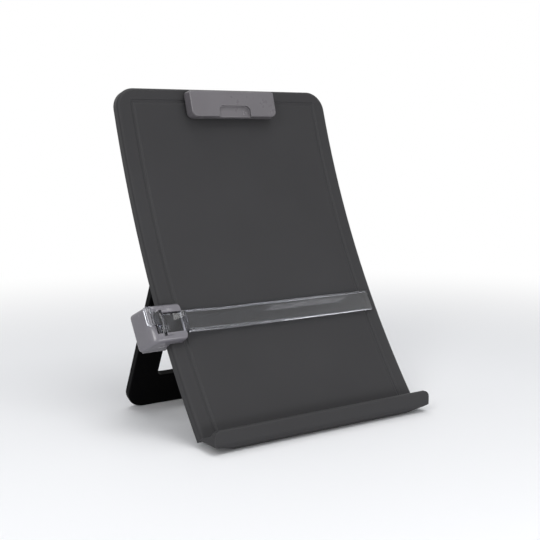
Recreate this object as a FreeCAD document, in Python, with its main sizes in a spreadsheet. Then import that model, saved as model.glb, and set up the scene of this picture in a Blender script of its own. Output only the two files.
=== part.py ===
import FreeCAD, Part
import math
import os
import re
import Sketcher
from FreeCAD import Placement, Rotation, Vector

# Copy holder with line guide: a curved document board on a folding stand leg,
# with a ledge along its foot, a sprung clip at its top edge and a clear line
# guide on a slider that runs along the left rim.
# Millimetres. +X is to the right, -Y faces the reader, +Z is up.
# The origin lies on the desk under the middle of the ledge.

os.makedirs("parts", exist_ok=True)
doc = FreeCAD.newDocument("copy_holder")
sizes = doc.addObject("Spreadsheet::Sheet", "Sizes")

SIZES = [
    # The board follows one circular arc, hollow side to the reader.
    # Places along the board are arc lengths up from the line where copy rests.
    ("arc_radius", 832.6), ("lean", 35.95), ("foot_y", 28.0), ("foot_z", 36.5),
    ("board_width", 238.2), ("board_low", -33.0), ("board_top", 299.1),
    ("skirt", 9.3), ("wall", 2.5), ("corner", 19.0), ("rim_round", 3.0),
    ("groove_in", 15.6), ("groove_top", 286.0), ("groove_half", 2.3),
    ("groove_floor", 1.1), ("groove_depth", 1.0), ("groove_corner", 6.0),
    ("rib_thick", 1.8), ("rib_depth", 4.0), ("rib_place", 22.0),
    ("rib_low", 20.0), ("rib_low_step", 30.0), ("rib_above", 18.0),
    ("rib_step", 37.0), ("rib_clear", 6.0),
    # Running gap between parts that slide, the fit of pins and screws, and
    # the play of pins and rods along their length.
    ("gap", 0.4), ("running", 0.05), ("seat", 0.03), ("play", 0.2),
    # Ledge along the foot of the board.
    ("ledge_front", -13.0), ("ledge_tip", 21.0), ("lip_thick", 3.5),
    ("lip_foot_y", -6.9), ("lip_foot_z", 15.7), ("ledge_under", 0.5),
    ("under_front", -6.0), ("under_back", 7.0), ("heel_y", 11.9),
    ("heel_z", 2.0), ("chin_z", 7.0), ("ledge_wall", 2.2),
    ("sweep_across", 25.0), ("sweep_up", 7.5), ("ledge_corner", 6.0),
    ("ledge_chin_round", 5.0), ("ledge_lip_round", 1.45),
    ("ledge_root_round", 3.0),
    ("ledge_bays", 5), ("ledge_rib", 7.0), ("pad_length", 34.0),
    ("pad_width", 8.0), ("pad_thick", 1.5), ("pad_place", 74.0),
    ("foot_screw_deep", 5.5), ("foot_screw_bite", 4.5),
    # Stand leg, hinged inside the back of the board.
    ("hinge_along", 123.3), ("hinge_deep", 9.5), ("leg_tilt", 25.4),
    ("leg_thick", 7.7), ("ear_wide", 4.2), ("rod_end", 1.57693),
    ("bar_wide", 27.0), ("foot_bar", 35.0), ("head_bar_top", 13.0),
    ("head_bar", 18.0), ("heel_rise", 8.0), ("stop_gap", 0.25),
    ("foot_corner", 19.0), ("window_corner", 6.0), ("leg_edge", 1.2),
    ("leg_skin", 2.4), ("leg_rim", 5.0), ("foot_rim", 9.0),
    ("leg_bays", 5), ("leg_rib", 3.0), ("pin_radius", 2.0), ("pin_head", 3.4),
    ("pin_head_thick", 1.6), ("ear_radius", 4.4), ("rod_radius", 2.2),
    ("rod_front", 1.5), ("rod_inner", 58.0), ("rod_length", 26.0),
    # Clip at the top edge.
    ("clip_along", 281.2), ("clip_tall", 25.5), ("clip_base_half", 50.0),
    ("clip_face_half", 48.0), ("clip_rise", 12.0), ("clip_lift", 0.6),
    ("clip_wall", 2.0), ("clip_low_round", 6.0), ("clip_top_round", 2.0),
    ("clip_edge", 1.4), ("clip_relief", 3.4), ("clip_pin_up", 8.8),
    ("clip_pin_out", 6.8), ("clip_pin_radius", 1.2), ("clip_pin_half", 46.6),
    ("clip_boss", 2.6), ("clip_boss_in", 43.5), ("scoop_half", 18.0),
    ("scoop_top", -1.9), ("scoop_deep", 3.0), ("scoop_round", 5.0),
    ("clip_top_wall", 1.4), ("dot_radius", 0.8), ("dot_proud", 0.5),
    ("plate_half", 41.0), ("plate_low", -4.0), ("plate_high", 7.6),
    ("plate_thick", 1.6), ("plate_bed", 0.12), ("lug_place", 35.0),
    ("lug_thick", 3.5), ("lug_radius", 2.2), ("clip_joint", 0.05),
    ("grip_half", 44.0), ("grip_tall", 3.0), ("grip_thick", 3.4),
    ("coil_radius", 1.9), ("wire_radius", 0.4), ("coil_turns", 6),
    ("coil_pitch", 1.0), ("coil_leg", 7.6), ("screw_radius", 1.5),
    ("screw_head", 2.8), ("head_thick", 1.6), ("clip_screw_place", 24.0),
    ("clip_screw_up", 1.0),
    # Slider on the left rim and the clear guide that tips on it.
    ("slide_along", 72.0), ("slide_long", 34.5), ("slide_over", 15.1),
    ("slide_face", 9.0), ("slide_face_out", 18.9), ("slide_out", 25.4),
    ("slide_back", 13.0), ("slide_wall", 2.0), ("cover_thick", 2.2),
    ("lip_catch", 1.9), ("slot_out", 14.1), ("slot_half", 9.5),
    ("slide_corner", 5.0), ("slide_edge", 2.2), ("slide_shoulder", 5.0),
    ("tip_side", 6.5), ("tip_out", 6.0), ("tip_pin", 1.5),
    ("tip_pin_half", 12.0), ("small_screw", 1.25), ("small_head", 2.3),
    ("small_head_thick", 1.2), ("boss_radius", 2.9), ("boss_out", 11.0),
    ("boss_along", 12.4), ("small_screw_long", 9.0), ("shoe_out", 10.9),
    ("shoe_half", 8.0), ("shoe_front", 1.2), ("shoe_back", 8.4),
    ("leaf_thick", 0.5), ("leaf_half", 11.3), ("leaf_side", 19.15),
    ("leaf_flat", 3.0), ("guide_half", 10.0),
    ("guide_thick", 1.6), ("guide_low", 2.4), ("guide_high", 5.2),
    ("guide_short", 9.6), ("guide_bend", 60.0), ("rail_wide", 1.0),
    ("rail_proud", 0.5), ("block_outer", 15.5), ("block_inner", 18.5),
    ("block_proud", 1.6),
    ("bearing_thick", 3.2), ("bearing_half", 4.2), ("tip_slack", 0.3),
    ("barrel_radius", 2.6), ("hub_out", 11.9), ("tab_outer", 24.1),
    ("tab_inner", 16.3), ("tab_low", -3.0), ("tab_high", 14.5),
    ("tab_lift", 12.0), ("tab_thick", 1.8), ("tab_ring", 1.9),
]
for row, (word, number) in enumerate(SIZES, 1):
    sizes.set("A%d" % row, word)
    sizes.set("B%d" % row, str(number))
    sizes.setAlias("B%d" % row, word)
doc.recompute()
WORDS = {word: number for word, number in SIZES}

# Places that follow from the sizes: those across the slider and the guide
# are taken from the rim of the board, the width of the leg from its ears
FITS = {
    "groove_side": "board_width/2 - groove_in",
    "leg_half": "board_width/2 - wall - ear_wide - gap",
    "slide_reach": "board_width/2 - slide_over",
    "slide_face_left": "board_width/2 + slide_face_out",
    "slide_left": "board_width/2 + slide_out",
    "lip_reach": "board_width/2 - lip_catch",
    "slot_left": "board_width/2 + slot_out",
    "tip_axis": "board_width/2 + tip_side",
    "boss_side": "board_width/2 + gap + boss_out",
    "shoe_left": "board_width/2 + shoe_out",
    "leaf_out": "board_width/2 + leaf_side",
    "hub_left": "board_width/2 + hub_out",
    "tab_left": "board_width/2 + tab_outer",
    "tab_right": "board_width/2 + tab_inner",
    "block_left": "board_width/2 - block_outer",
    "block_right": "board_width/2 - block_inner",
    "guide_end": "board_width/2 - guide_short",
}


def link(text):
    # An expression in the words of the table, as other objects read it.
    def spell(found):
        word = found.group(0)
        if word in FITS:
            return "(" + link(FITS[word]) + ")"
        return "Sizes." + word if word in WORDS else word
    return re.sub(r"[a-z]+(_[a-z]+)*", spell, str(text))


def value(text):
    return float(sizes.evalExpression(link(text)))


def lean_at(along):
    return "(lean - (%s)/arc_radius*180/pi)" % along


def angle_between(low, high):
    return "((%s) - (%s))/arc_radius*180/pi" % (high, low)


CENTRE_Y = "(foot_y - arc_radius*cos(lean))"
CENTRE_Z = "(foot_z + arc_radius*sin(lean))"


def bind(thing, path, text):
    thing.setExpression(path, link(text))


def place(thing, y, z, angle, sense):
    # Set a part at its height and depth, turned about the X direction.
    thing.Placement = Placement(Vector(0, value(y), value(z)),
                                Rotation(Vector(sense, 0, 0), value(angle)))
    bind(thing, "Placement.Base.y", y)
    bind(thing, "Placement.Base.z", z)
    bind(thing, "Placement.Rotation.Angle", angle)


def on_axis(thing, along):
    # Local origin on the arc's axis, local Y pointing out at this place.
    place(thing, CENTRE_Y, CENTRE_Z, lean_at(along), -1)


def on_board(thing, along):
    # Local origin on the board's front surface, local Z up along the board.
    turn = lean_at(along)
    place(thing, "%s + arc_radius*cos(%s)" % (CENTRE_Y, turn),
          "%s - arc_radius*sin(%s)" % (CENTRE_Z, turn), turn, -1)


HINGE_Y = "(%s + (arc_radius + hinge_deep)*cos(%s))" % (
    CENTRE_Y, lean_at("hinge_along"))
HINGE_Z = "(%s - (arc_radius + hinge_deep)*sin(%s))" % (
    CENTRE_Z, lean_at("hinge_along"))
# The rods under the leg touch the desk, and the leg ends just below them
ROD_Z = "((rod_radius - %s + rod_front*sin(leg_tilt))/cos(leg_tilt))" % HINGE_Z
FITS["leg_drop"] = "rod_end - " + ROD_Z


def new_body(label, setter, *where):
    body = doc.addObject("PartDesign::Body", label)
    body.Label = label
    if hasattr(body, "AllowCompound"):
        body.AllowCompound = True
    setter(body, *where)
    return body


def new_sketch(body, name, plane, away=None, turn=None):
    sketch = body.newObject("Sketcher::SketchObject", name)
    base = [f for f in body.Origin.OriginFeatures if f.Role == plane][0]
    sketch.AttachmentSupport = [(base, "")]
    sketch.MapMode = "FlatFace"
    away, turn = away or "0", turn or "0"
    back = "-(%s)*sin(%s)" % (away, turn)
    out = "(%s)*cos(%s)" % (away, turn)
    sketch.AttachmentOffset = Placement(
        Vector(0, value(back), value(out)),
        Rotation(Vector(1, 0, 0), value(turn)))
    if away != "0":
        bind(sketch, "AttachmentOffset.Base.y", back)
        bind(sketch, "AttachmentOffset.Base.z", out)
    if turn != "0":
        bind(sketch, "AttachmentOffset.Rotation.Angle", turn)
    return sketch


def fix_point(sketch, line, end, x, y):
    # Hold one end of a line at a named place from the sketch's origin.
    for kind, axis, text in (("DistanceX", -2, x), ("DistanceY", -1, y)):
        number = value(text)
        if abs(number) < 1e-9:
            sketch.addConstraint(Sketcher.Constraint(
                "PointOnObject", line, end, axis))
            continue
        index = sketch.addConstraint(Sketcher.Constraint(
            kind, -1, 1, line, end, number))
        bind(sketch, "Constraints[%d]" % index, text)


def outline(sketch, points):
    # A closed outline whose every corner is held by named values.
    corners = [Vector(value(x), value(y), 0) for x, y in points]
    count = len(corners)
    first = sketch.GeometryCount
    for i in range(count):
        sketch.addGeometry(Part.LineSegment(
            corners[i], corners[(i + 1) % count]), False)
    for i in range(count):
        sketch.addConstraint(Sketcher.Constraint(
            "Coincident", first + i, 2, first + (i + 1) % count, 1))
        fix_point(sketch, first + i, 1, points[i][0], points[i][1])


def rectangle(sketch, left, right, low, high):
    outline(sketch, [(left, low), (right, low), (right, high), (left, high)])


def circle(sketch, x, y, radius):
    index = sketch.addGeometry(Part.Circle(
        Vector(value(x), value(y), 0), Vector(0, 0, 1), value(radius)), False)
    size = sketch.addConstraint(Sketcher.Constraint(
        "Radius", index, value(radius)))
    bind(sketch, "Constraints[%d]" % size, radius)
    fix_point(sketch, index, 3, x, y)


def round_corner(sketch, x, y, radius, side):
    # The scrap outside a rounded upper corner, ready to be cut away.
    inner = "(%s) - %s*(%s)" % (x, side, radius)
    outer = "(%s) + %s*1" % (x, side)
    below, above = "(%s) - (%s)" % (y, radius), "(%s) + 1" % y
    points = [(x, below), (outer, below), (outer, above), (inner, above),
              (inner, y)]
    corners = [Vector(value(a), value(b), 0) for a, b in points]
    first = sketch.GeometryCount
    for i in range(4):
        sketch.addGeometry(Part.LineSegment(corners[i], corners[i + 1]), False)
    centre = Vector(value(inner), value(below), 0)
    reach = value(radius)
    sweep = (0, math.pi/2) if side == "1" else (math.pi/2, math.pi)
    arc = sketch.addGeometry(Part.ArcOfCircle(
        Part.Circle(centre, Vector(0, 0, 1), reach), *sweep), False)
    for i in range(3):
        sketch.addConstraint(Sketcher.Constraint(
            "Coincident", first + i, 2, first + i + 1, 1))
    starts, ends = (1, 2) if side == "1" else (2, 1)
    sketch.addConstraint(Sketcher.Constraint(
        "Coincident", arc, starts, first, 1))
    sketch.addConstraint(Sketcher.Constraint(
        "Coincident", arc, ends, first + 3, 2))
    for i, (a, b) in enumerate(points[:4]):
        fix_point(sketch, first + i, 1, a, b)
    fix_point(sketch, first + 3, 2, *points[4])
    size = sketch.addConstraint(Sketcher.Constraint("Radius", arc, reach))
    bind(sketch, "Constraints[%d]" % size, radius)


def solid_volume(body):
    return body.Shape.Volume if body.Tip and not body.Shape.isNull() else 0.0


def finish_feature(body, feature, cuts):
    # Recompute, and make sure the feature really adds or removes material.
    before = solid_volume(body)
    body.Tip = feature
    doc.recompute()
    after = body.Shape.Volume
    changed = before - after if cuts else after - before
    if changed < 0.01:
        raise ValueError("%s %s changes nothing" % (body.Label, feature.Name))
    return feature


def extrude(body, sketch, length, cuts=False, both=False, back=False):
    kind = "PartDesign::Pocket" if cuts else "PartDesign::Pad"
    feature = body.newObject(kind, sketch.Name + ("_cut" if cuts else "_pad"))
    feature.Profile = sketch
    feature.Length = value(length)
    bind(feature, "Length", length)
    feature.Midplane = both
    feature.Reversed = back
    return finish_feature(body, feature, cuts)


def revolve(body, sketch, angle, cuts=False, both=False):
    kind = "PartDesign::Groove" if cuts else "PartDesign::Revolution"
    feature = body.newObject(kind, sketch.Name + ("_cut" if cuts else "_turn"))
    feature.Profile = sketch
    feature.ReferenceAxis = (sketch, ["H_Axis"])
    feature.Angle = value(angle)
    bind(feature, "Angle", angle)
    feature.Midplane = both
    feature.Reversed = False
    return finish_feature(body, feature, cuts)


def soften(body, name, radius, picks):
    # Round every edge of the body that the test picks out.
    base = body.Tip
    names = ["Edge%d" % (i + 1)
             for i, e in enumerate(base.Shape.Edges) if picks(e)]
    feature = body.newObject("PartDesign::Fillet", name)
    feature.Base = (base, names)
    feature.Radius = value(radius)
    bind(feature, "Radius", radius)
    body.Tip = feature
    doc.recompute()
    if not body.Shape.isValid() or not names:
        raise ValueError("%s %s is not sound: %d edges" % (
            body.Label, name, len(names)))
    return feature


def middle(edge):
    first, last = edge.ParameterRange
    return edge.valueAt((first + last) / 2)


def along(edge, direction):
    # True where the edge is straight and runs in this direction.
    if not isinstance(edge.Curve, Part.Line):
        return False
    return abs(abs(edge.Curve.Direction.dot(Vector(*direction))) - 1) < 1e-3


def near(number, target, slack=0.05):
    return abs(number - target) < slack


def turned(radius, shift, angle):
    # A point at this radius and tangent shift, in the plane across X.
    return ("(%s)*cos(%s) - (%s)*sin(%s)" % (radius, angle, shift, angle),
            "(%s)*sin(%s) + (%s)*cos(%s)" % (radius, angle, shift, angle))


def desk(y, z, turn):
    # A point of the desk frame, as seen from a part set on the arc's axis.
    dy, dz = "((%s) - %s)" % (y, CENTRE_Y), "((%s) - %s)" % (z, CENTRE_Z)
    return ("%s*cos(%s) - %s*sin(%s)" % (dy, turn, dz, turn),
            "%s*sin(%s) + %s*cos(%s)" % (dy, turn, dz, turn))


# Board panel: a thin curved tray with its skirt turned to the back
board = new_body("board_panel", on_axis, "board_low")
profile = new_sketch(board, "board_section", "XY_Plane")
rectangle(profile, "-board_width/2", "board_width/2",
          "arc_radius", "arc_radius + skirt")
revolve(board, profile, angle_between("board_low", "board_top"))
top_turn = math.radians(value(angle_between("board_low", "board_top")))
half = value("board_width/2")


def at_top(point):
    return math.atan2(point.z, point.y) > top_turn - 1e-4


def inside_out(point):
    return math.hypot(point.y, point.z) - value("arc_radius")


def height(point):
    return math.atan2(point.z, point.y) * value("arc_radius") + value(
        "board_low")


hollow = new_sketch(board, "board_hollow", "XY_Plane",
                    turn=angle_between("0", "wall"))
rectangle(hollow, "-board_width/2 + wall", "board_width/2 - wall",
          "arc_radius + wall", "arc_radius + skirt + 1")
revolve(board, hollow, angle_between("board_low + wall", "board_top - wall"),
        cuts=True)
soften(board, "board_hollow_corners", "corner - wall",
       lambda e: near(abs(middle(e).x), value("board_width/2 - wall"))
       and near(height(middle(e)), value("board_top - wall"), 0.3)
       and 3 < inside_out(middle(e)) < 8)
soften(board, "board_corners", "corner",
       lambda e: near(abs(middle(e).x), half) and at_top(middle(e))
       and near(inside_out(middle(e)), value("skirt/2"), 0.2))
soften(board, "board_rim_round", "rim_round",
       lambda e: near(inside_out(middle(e)), 0)
       and height(middle(e)) > value("board_low") + 1)

# A shallow channel frames the panel on three sides
for hand, side in (("left", "-1"), ("right", "1")):
    channel = new_sketch(board, "channel_" + hand, "XY_Plane")
    outline(channel, [
        ("%s*groove_side - groove_half" % side, "arc_radius - 0.5"),
        ("%s*groove_side - groove_half" % side, "arc_radius"),
        ("%s*groove_side - groove_floor" % side, "arc_radius + groove_depth"),
        ("%s*groove_side + groove_floor" % side, "arc_radius + groove_depth"),
        ("%s*groove_side + groove_half" % side, "arc_radius"),
        ("%s*groove_side + groove_half" % side, "arc_radius - 0.5")])
    revolve(board, channel, angle_between("board_low", "groove_top"),
            cuts=True)
across = angle_between("board_low", "groove_top")
channel = new_sketch(board, "channel_top", "YZ_Plane")
outline(channel, [
    turned("arc_radius - 0.5", "-groove_half", across),
    turned("arc_radius", "-groove_half", across),
    turned("arc_radius + groove_depth", "-groove_floor", across),
    turned("arc_radius + groove_depth", "groove_floor", across),
    turned("arc_radius", "groove_half", across),
    turned("arc_radius - 0.5", "groove_half", across)])
extrude(board, channel, "2*groove_side + 2*groove_floor", cuts=True, both=True)

# Ribs behind the panel, clear of the folded leg
UPPER = ("hinge_along + rib_above", "board_top - wall/2")
LOWER = ("rib_low", "rib_low + 2*rib_low_step + rib_thick")
for tag, (low, high) in (("upper", UPPER), ("lower", LOWER)):
    ribs = new_sketch(board, "ribs_" + tag, "XY_Plane",
                      turn=angle_between("board_low", low))
    for k in (-3, -1, 1, 3):
        rectangle(ribs, "%d*rib_place - rib_thick/2" % k,
                  "%d*rib_place + rib_thick/2" % k, "arc_radius + wall/2",
                  "arc_radius + wall + rib_depth")
    revolve(board, ribs, angle_between(low, high))
ROWS = [("rib_low + %d*rib_low_step" % k, "leg_half - bar_wide - rib_clear")
        for k in range(3)]
ROWS += [("hinge_along + rib_above + %d*rib_step" % k, "board_width/2 - wall/2")
         for k in range(4)]
for number, (spot, reach) in enumerate(ROWS):
    cross = new_sketch(board, "rib_across_%d" % number, "XY_Plane",
                       turn=angle_between("board_low", spot))
    rectangle(cross, "-(%s)" % reach, reach, "arc_radius + wall/2",
              "arc_radius + wall + rib_depth")
    revolve(board, cross, angle_between("0", "rib_thick"))

# Hinge ears for the leg, one inside each side of the skirt
turn = angle_between("board_low", "hinge_along")
for hand, start in (("left", "-board_width/2 + wall"),
                    ("right", "leg_half + gap")):
    ear = new_sketch(board, "ear_" + hand, "YZ_Plane", away=start)
    outline(ear, [turned("arc_radius + wall/2", "-ear_radius", turn),
                  turned("arc_radius + hinge_deep", "-ear_radius", turn),
                  turned("arc_radius + hinge_deep", "ear_radius", turn),
                  turned("arc_radius + wall/2", "ear_radius", turn)])
    extrude(board, ear, "ear_wide")
    knob = new_sketch(board, "knob_" + hand, "YZ_Plane", away=start)
    middle_y, middle_z = turned("arc_radius + hinge_deep", "0", turn)
    circle(knob, middle_y, middle_z, "ear_radius")
    extrude(board, knob, "ear_wide")
bore = new_sketch(board, "ear_bore", "YZ_Plane")
circle(bore, middle_y, middle_z, "pin_radius + seat")
extrude(board, bore, "board_width - 2*wall", cuts=True, both=True)

# Bosses behind the clip with pilot holes for its two screws
clip_turn = angle_between("board_low", "clip_along + clip_screw_up")
posts = new_sketch(board, "clip_posts", "XZ_Plane",
                   away="-(arc_radius + wall/2)", turn=clip_turn)
for side in ("-1", "1"):
    circle(posts, side + "*clip_screw_place", "0", "screw_radius + wall")
extrude(board, posts, "skirt - wall", back=True)
pilot = new_sketch(board, "clip_pilots", "XZ_Plane",
                   away="-(arc_radius - 1)", turn=clip_turn)
for side in ("-1", "1"):
    circle(pilot, side + "*clip_screw_place", "0", "screw_radius + seat")
extrude(board, pilot, "skirt - 1", cuts=True)

# Clearance holes through the foot wall for the ledge's screws
BAY = "((board_width - 2*sweep_across)/ledge_bays)"
SCREWS_X = ["%d*%s/2" % (k, BAY) for k in (-3, -1, 1, 3)]
holes = new_sketch(board, "foot_holes", "XY_Plane")
for x in SCREWS_X:
    circle(holes, x, "arc_radius + foot_screw_deep", "screw_radius + seat")
extrude(board, holes, "wall + 1", cuts=True, back=True)

# Ledge: a hollow trough on which the copy rests
ledge = new_body("ledge", on_axis, "board_low")
low_lean = lean_at("board_low")
section = new_sketch(ledge, "ledge_section", "YZ_Plane")
outline(section, [
    ("arc_radius", "0"), ("arc_radius + skirt", "0"),
    desk("heel_y", "heel_z", low_lean),
    desk("under_back", "ledge_under", low_lean),
    desk("under_front", "ledge_under", low_lean),
    desk("ledge_front", "chin_z", low_lean),
    desk("ledge_front", "ledge_tip", low_lean),
    desk("ledge_front + lip_thick", "ledge_tip", low_lean),
    desk("lip_foot_y", "lip_foot_z", low_lean)])
extrude(ledge, section, "board_width", both=True)
place_ledge = ledge.Placement


def near_desk(edge, y, z, slack=0.2):
    point = place_ledge.multVec(middle(edge))
    return (along(edge, (1, 0, 0)) and near(point.y, value(y), slack)
            and near(point.z, value(z), slack))


soften(ledge, "ledge_chin", "ledge_chin_round",
       lambda e: near_desk(e, "ledge_front", "chin_z")
       or near_desk(e, "under_front", "ledge_under"))
soften(ledge, "ledge_lip", "ledge_lip_round",
       lambda e: near_desk(e, "ledge_front", "ledge_tip")
       or near_desk(e, "ledge_front + lip_thick", "ledge_tip"))
soften(ledge, "ledge_root", "ledge_root_round",
       lambda e: near_desk(e, "lip_foot_y", "lip_foot_z")
       or near_desk(e, "under_back", "ledge_under"))
for k in range(-2, 3):
    bay = new_sketch(ledge, "bay_%d" % (k + 3), "YZ_Plane",
                     away="%d*%s" % (k, BAY))
    outline(bay, [
        ("arc_radius + ledge_wall", "0.5"),
        ("arc_radius + skirt - ledge_wall", "0.5"),
        ("arc_radius + skirt - ledge_wall", "0"),
        desk("under_back - 1", "ledge_under + ledge_wall", low_lean),
        desk("under_front + 1.5", "ledge_under + ledge_wall", low_lean),
        desk("ledge_front + ledge_wall", "chin_z + 1", low_lean),
        desk("ledge_front + ledge_wall", "lip_foot_z - 1", low_lean),
        desk("lip_foot_y", "lip_foot_z - ledge_wall", low_lean),
        ("arc_radius + ledge_wall", "-ledge_wall")])
    extrude(ledge, bay, BAY + " - ledge_rib", cuts=True, both=True)
ends = new_sketch(ledge, "ledge_ends", "XZ_Plane",
                  away="%s + 30" % CENTRE_Y, turn=low_lean)
for side in ("-1", "1"):
    edge_x = side + "*board_width/2"
    outline(ends, [
        (edge_x + " - %s*sweep_across" % side, "-2 - " + CENTRE_Z),
        (edge_x + " - %s*sweep_across" % side, "ledge_under - " + CENTRE_Z),
        (edge_x, "sweep_up - " + CENTRE_Z),
        (edge_x + " + %s*2" % side, "sweep_up - " + CENTRE_Z),
        (edge_x + " + %s*2" % side, "-2 - " + CENTRE_Z)])
extrude(ledge, ends, "60", cuts=True)
rounds = new_sketch(ledge, "ledge_top_corners", "XZ_Plane",
                    away="%s + 30" % CENTRE_Y, turn=low_lean)
for side in ("-1", "1"):
    round_corner(rounds, side + "*board_width/2", "ledge_tip - " + CENTRE_Z,
                 "ledge_corner", side)
extrude(ledge, rounds, "60", cuts=True)
PADS = (("left", "-1"), ("middle", "0"), ("right", "1"))
for name, side in PADS:
    recess = new_sketch(ledge, "pad_recess_" + name, "YZ_Plane",
                        away="%s*pad_place - pad_length/2 - seat" % side)
    outline(recess, [
        desk("-pad_width/2 - seat", "-1", low_lean),
        desk("pad_width/2 + seat", "-1", low_lean),
        desk("pad_width/2 + seat", "pad_thick + seat", low_lean),
        desk("-pad_width/2 - seat", "pad_thick + seat", low_lean)])
    extrude(ledge, recess, "pad_length + 2*seat", cuts=True, back=True)
drill = new_sketch(ledge, "ledge_pilots", "XY_Plane")
for x in SCREWS_X:
    circle(drill, x, "arc_radius + foot_screw_deep", "screw_radius + seat")
extrude(ledge, drill, "foot_screw_bite + 0.6", cuts=True)


# Rubber pads under the ledge
pads = new_body("ledge_pads", place, "0", "0", "0", 1)
for name, side in PADS:
    strip = new_sketch(pads, "pad_" + name, "YZ_Plane",
                       away="%s*pad_place - pad_length/2" % side)
    rectangle(strip, "-pad_width/2", "pad_width/2", "0", "pad_thick")
    extrude(pads, strip, "pad_length")


def screws(label, setter, where, plane, spots, head_at, head_up, bite,
           shank="screw_radius", head="screw_head", deep="head_thick"):
    # Round-headed screws of one size, each with a straight slot.
    body = new_body(label, setter, *where)
    heads = new_sketch(body, label + "_heads", plane, away=head_at)
    shanks = new_sketch(body, label + "_shanks", plane, away=head_at)
    for x, y in spots:
        circle(heads, x, y, head)
    extrude(body, heads, deep, back=not head_up)
    for x, y in spots:
        circle(shanks, x, y, shank)
    extrude(body, shanks, bite, back=head_up)
    top = "(%s) %s (%s)" % (head_at, "+" if head_up else "-", deep)
    slots = new_sketch(body, label + "_slots", plane, away=top)
    for x, y in spots:
        rectangle(slots, "%s - (%s)*0.75" % (x, head),
                  "%s + (%s)*0.75" % (x, head), "%s - 0.35" % y,
                  "%s + 0.35" % y)
    extrude(body, slots, deep + "/2", cuts=True, back=not head_up)
    return body


ledge_screws = screws(
    "ledge_screws", on_axis, ["board_low"], "XY_Plane",
    [(x, "arc_radius + foot_screw_deep") for x in SCREWS_X],
    "wall + seat", True, "wall + foot_screw_bite")

# Stand leg: a frame with a window, hinged at the top of its side bars
leg = new_body("stand_leg", place, HINGE_Y, HINGE_Z, "leg_tilt", 1)
frame = new_sketch(leg, "leg_outline", "XZ_Plane")
bar_in = "(leg_half - bar_wide)"
outline(frame, [
    ("-leg_half", "-leg_drop"), ("leg_half", "-leg_drop"),
    ("leg_half", "heel_rise"), (bar_in, "heel_rise"),
    (bar_in, "-head_bar_top"), ("-" + bar_in, "-head_bar_top"),
    ("-" + bar_in, "heel_rise"), ("-leg_half", "heel_rise")])
extrude(leg, frame, "leg_thick", both=True)
window = new_sketch(leg, "leg_window", "XZ_Plane")
rectangle(window, "-" + bar_in, bar_in, "-leg_drop + foot_bar",
          "-head_bar_top - head_bar")
extrude(leg, window, "leg_thick + 2", cuts=True, both=True)
soften(leg, "leg_foot_corners", "foot_corner",
       lambda e: along(e, (0, 1, 0)) and near(abs(middle(e).x),
                                              value("leg_half"))
       and near(middle(e).z, value("-leg_drop")))
soften(leg, "leg_window_corners", "window_corner",
       lambda e: along(e, (0, 1, 0)) and near(abs(middle(e).x), value(bar_in))
       and middle(e).z < value("-head_bar_top") + 1)
low_face, high_face = value("-leg_thick/2"), value("leg_thick/2")
soften(leg, "leg_edges", "leg_edge",
       lambda e: (near(middle(e).y, low_face) or near(middle(e).y, high_face))
       and middle(e).z < value("-pin_head - 3"))
# The heel is cut flat, so it beds on the board's back when the leg is open
flat = "(%s + leg_tilt)" % lean_at("hinge_along")
reach = "(hinge_deep - wall - stop_gap)"
heel = new_sketch(leg, "leg_heel", "YZ_Plane")
outline(heel, [
    ("-leg_thick", "(%s - leg_thick*cos(%s))/sin(%s)" % (reach, flat, flat)),
    ("leg_thick", "(%s + leg_thick*cos(%s))/sin(%s)" % (reach, flat, flat)),
    ("leg_thick", "heel_rise + leg_thick"),
    ("-leg_thick", "heel_rise + leg_thick")])
extrude(leg, heel, "2*leg_half + 2", cuts=True, both=True)
bore = new_sketch(leg, "leg_bore", "YZ_Plane")
circle(bore, "0", "0", "pin_radius + running")
extrude(leg, bore, "2*leg_half + 2", cuts=True, both=True)
# Pockets in the back leave walls, ribs and solid knuckles
pockets = new_sketch(leg, "leg_pockets", "XZ_Plane", away="-leg_thick/2")
MID = "(-leg_drop + foot_bar - head_bar_top - head_bar)/2"
for low, high in (("-leg_drop + foot_bar + leg_rim", MID + " - leg_rib/2"),
                  (MID + " + leg_rib/2", "-head_bar_top - head_bar - leg_rib")):
    rectangle(pockets, bar_in + " + leg_rim", "leg_half - leg_rim", low, high)
    rectangle(pockets, "-leg_half + leg_rim", "-%s - leg_rim" % bar_in, low, high)
CELL = "(2*%s/leg_bays)" % bar_in
for k in range(-2, 3):
    left = "%d*%s - %s/2 + leg_rib/2" % (k, CELL, CELL)
    right = "%d*%s + %s/2 - leg_rib/2" % (k, CELL, CELL)
    rectangle(pockets, left, right, "-leg_drop + foot_rim",
              "-leg_drop + foot_bar - leg_rim")
    rectangle(pockets, left, right, "-head_bar_top - head_bar + leg_rim",
              "-head_bar_top - leg_rim")
extrude(leg, pockets, "leg_thick - leg_skin", cuts=True, back=True)
# Grooves along the foot that hold the rubber rods
for hand in ("-1", "1"):
    start = "%s*(rod_inner + rod_length/2) - rod_length/2" % hand
    name = "left" if hand == "-1" else "right"
    groove = new_sketch(leg, "rod_groove_" + name, "YZ_Plane",
                        away=start + " - play")
    circle(groove, "-rod_front", ROD_Z, "rod_radius + seat")
    extrude(leg, groove, "rod_length + 2*play", cuts=True, back=True)
rods = new_body("leg_feet", place, HINGE_Y, HINGE_Z, "leg_tilt", 1)
for hand in ("-1", "1"):
    start = "%s*(rod_inner + rod_length/2) - rod_length/2" % hand
    rod = new_sketch(rods, "rod_" + ("left" if hand == "-1" else "right"),
                     "YZ_Plane", away=start)
    circle(rod, "-rod_front", ROD_Z, "rod_radius")
    extrude(rods, rod, "rod_length")

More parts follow.
